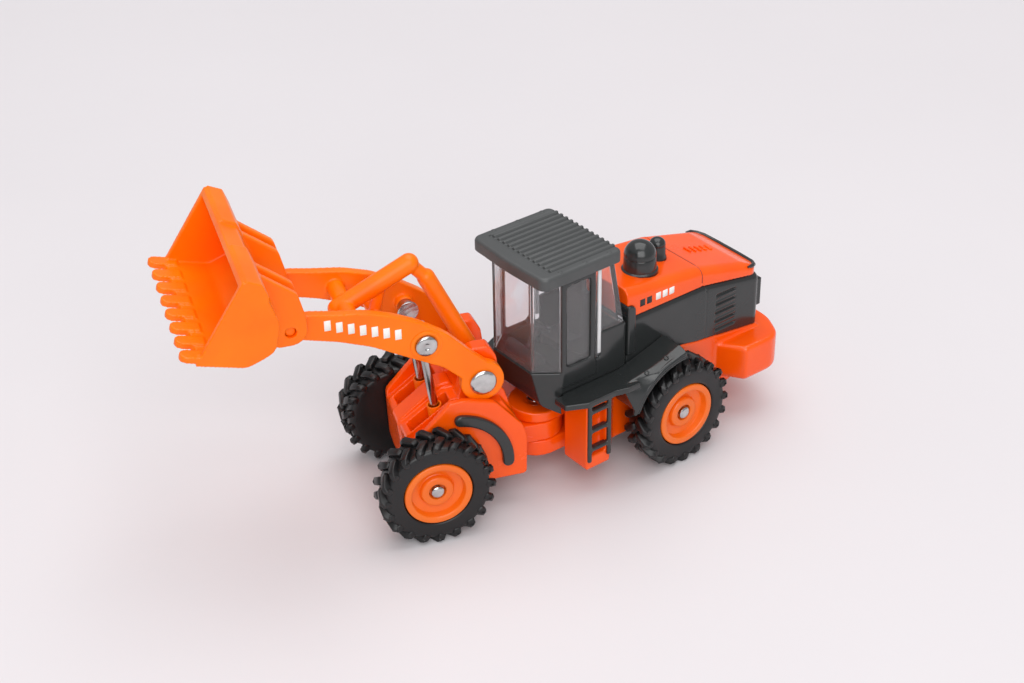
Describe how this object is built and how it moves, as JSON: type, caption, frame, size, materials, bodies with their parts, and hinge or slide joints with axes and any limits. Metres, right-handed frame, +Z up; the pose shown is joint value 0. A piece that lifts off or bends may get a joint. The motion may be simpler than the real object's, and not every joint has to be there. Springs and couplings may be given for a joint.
{
  "type": "toy wheel loader",
  "caption": "Die-cast toy front loader: orange boom, bucket and chassis, grey cab and fenders, black lugged tyres, articulated steering",
  "frame": {"origin": "Centre of the overall box's underside at rest, on the ground under the tyres.", "axes": "+X forward, +Y the loader's left, +Z up."},
  "size_m": [0.0846, 0.0388, 0.0428],
  "materials": {
    "boom_plastic": "glossy yellow-orange moulded plastic",
    "chassis_paint": "orange enamel on zinc casting",
    "rim_plastic": "orange moulded plastic",
    "grey_plastic": "dark grey glossy plastic",
    "roof_plastic": "matte dark grey plastic",
    "dark_plastic": "black plastic",
    "tyre_plastic": "black tyre, soft shine",
    "clear_glazing": "clear faintly violet plastic glazing",
    "steel": "plated steel pin"
  },
  "bodies": {
    "rear": {"rear_chassis": "chassis_paint", "rear_base_plate": "dark_plastic", "steering_rivet": "steel", "engine_housing": "grey_plastic", "hood": "chassis_paint", "air_intake": "grey_plastic", "exhaust_stack": "grey_plastic", "cab_body": "grey_plastic", "cab_window": "clear_glazing", "cab_roof": "roof_plastic", "cab_interior": "dark_plastic", "steering_wheel": "dark_plastic", "fender_deck": "grey_plastic", "rear_axle": "steel"},
    "front": {"front_frame": "chassis_paint", "front_base_plate": "dark_plastic", "front_axle": "steel", "boom_pin": "steel", "fender_trim_left": "grey_plastic", "fender_trim_right": "grey_plastic"},
    "boom": {"boom": "boom_plastic", "lift_pin_left": "steel", "lift_pin_right": "steel"},
    "bucket": {"bucket": "boom_plastic"},
    "lift_guide_left": {"lift_guide_left": "rim_plastic"},
    "lift_guide_right": {"lift_guide_right": "rim_plastic"},
    "lift_rod_left": {"lift_rod_left": "steel"},
    "lift_rod_right": {"lift_rod_right": "steel"},
    "rear_wheel_left": {"rear_rim_left": "rim_plastic", "rear_tyre_left": "tyre_plastic"},
    "rear_wheel_right": {"rear_rim_right": "rim_plastic", "rear_tyre_right": "tyre_plastic"},
    "front_wheel_left": {"front_rim_left": "rim_plastic", "front_tyre_left": "tyre_plastic"},
    "front_wheel_right": {"front_rim_right": "rim_plastic", "front_tyre_right": "tyre_plastic"}
  },
  "joints": [
    {"name": "articulation", "type": "hinge", "parent": "rear", "child": "front", "pos_m": [-0.0051, 0.00775, 0.008], "axis": [0, 0, 1], "range_deg": [-6, 46]},
    {"name": "boom_lift", "type": "hinge", "parent": "front", "child": "boom", "pos_m": [0.00308, 0.00478, 0.0192], "axis": [-0.342, -0.9397, 0], "range_deg": [-64, 5]},
    {"name": "bucket_tilt", "type": "hinge", "parent": "boom", "child": "bucket", "pos_m": [0.02535, -0.00333, 0.0319], "axis": [-0.342, -0.9397, 0], "range_deg": [-60, 70]},
    {"name": "rear_wheel_spin_left", "type": "hinge", "parent": "rear", "child": "rear_wheel_left", "pos_m": [-0.0215, 0.01725, 0.0075], "axis": [0, 1, 0], "continuous": true},
    {"name": "front_wheel_spin_left", "type": "hinge", "parent": "front", "child": "front_wheel_left", "pos_m": [0.01356, 0.01107, 0.0075], "axis": [0.342, 0.9397, 0], "continuous": true},
    {"name": "lift_guide_swing_left", "type": "hinge", "parent": "front", "child": "lift_guide_left", "pos_m": [0.00878, 0.00611, 0.009], "axis": [-0.342, -0.9397, 0], "range_deg": [-27, 3]},
    {"name": "lift_rod_swing_left", "type": "hinge", "parent": "boom", "child": "lift_rod_left", "pos_m": [0.01085, 0.00536, 0.0261], "axis": [-0.342, -0.9397, 0], "range_deg": [-4, 38]},
    {"name": "rear_wheel_spin_right", "type": "hinge", "parent": "rear", "child": "rear_wheel_right", "pos_m": [-0.0215, -0.00175, 0.0075], "axis": [0, 1, 0], "continuous": true},
    {"name": "front_wheel_spin_right", "type": "hinge", "parent": "front", "child": "front_wheel_right", "pos_m": [0.00707, -0.00678, 0.0075], "axis": [0.342, 0.9397, 0], "continuous": true},
    {"name": "lift_guide_swing_right", "type": "hinge", "parent": "front", "child": "lift_guide_right", "pos_m": [0.00659, 0.00009, 0.009], "axis": [-0.342, -0.9397, 0], "range_deg": [-27, 3]},
    {"name": "lift_rod_swing_right", "type": "hinge", "parent": "boom", "child": "lift_rod_right", "pos_m": [0.00866, -0.00066, 0.0261], "axis": [-0.342, -0.9397, 0], "range_deg": [-4, 38]}
  ],
  "couplings": [
    {"joint": "lift_guide_swing_left", "follows": "boom_lift", "ratio": 0.415},
    {"joint": "lift_rod_swing_left", "follows": "boom_lift", "ratio": -0.585},
    {"joint": "lift_guide_swing_right", "follows": "boom_lift", "ratio": 0.415},
    {"joint": "lift_rod_swing_right", "follows": "boom_lift", "ratio": -0.585}
  ]
}
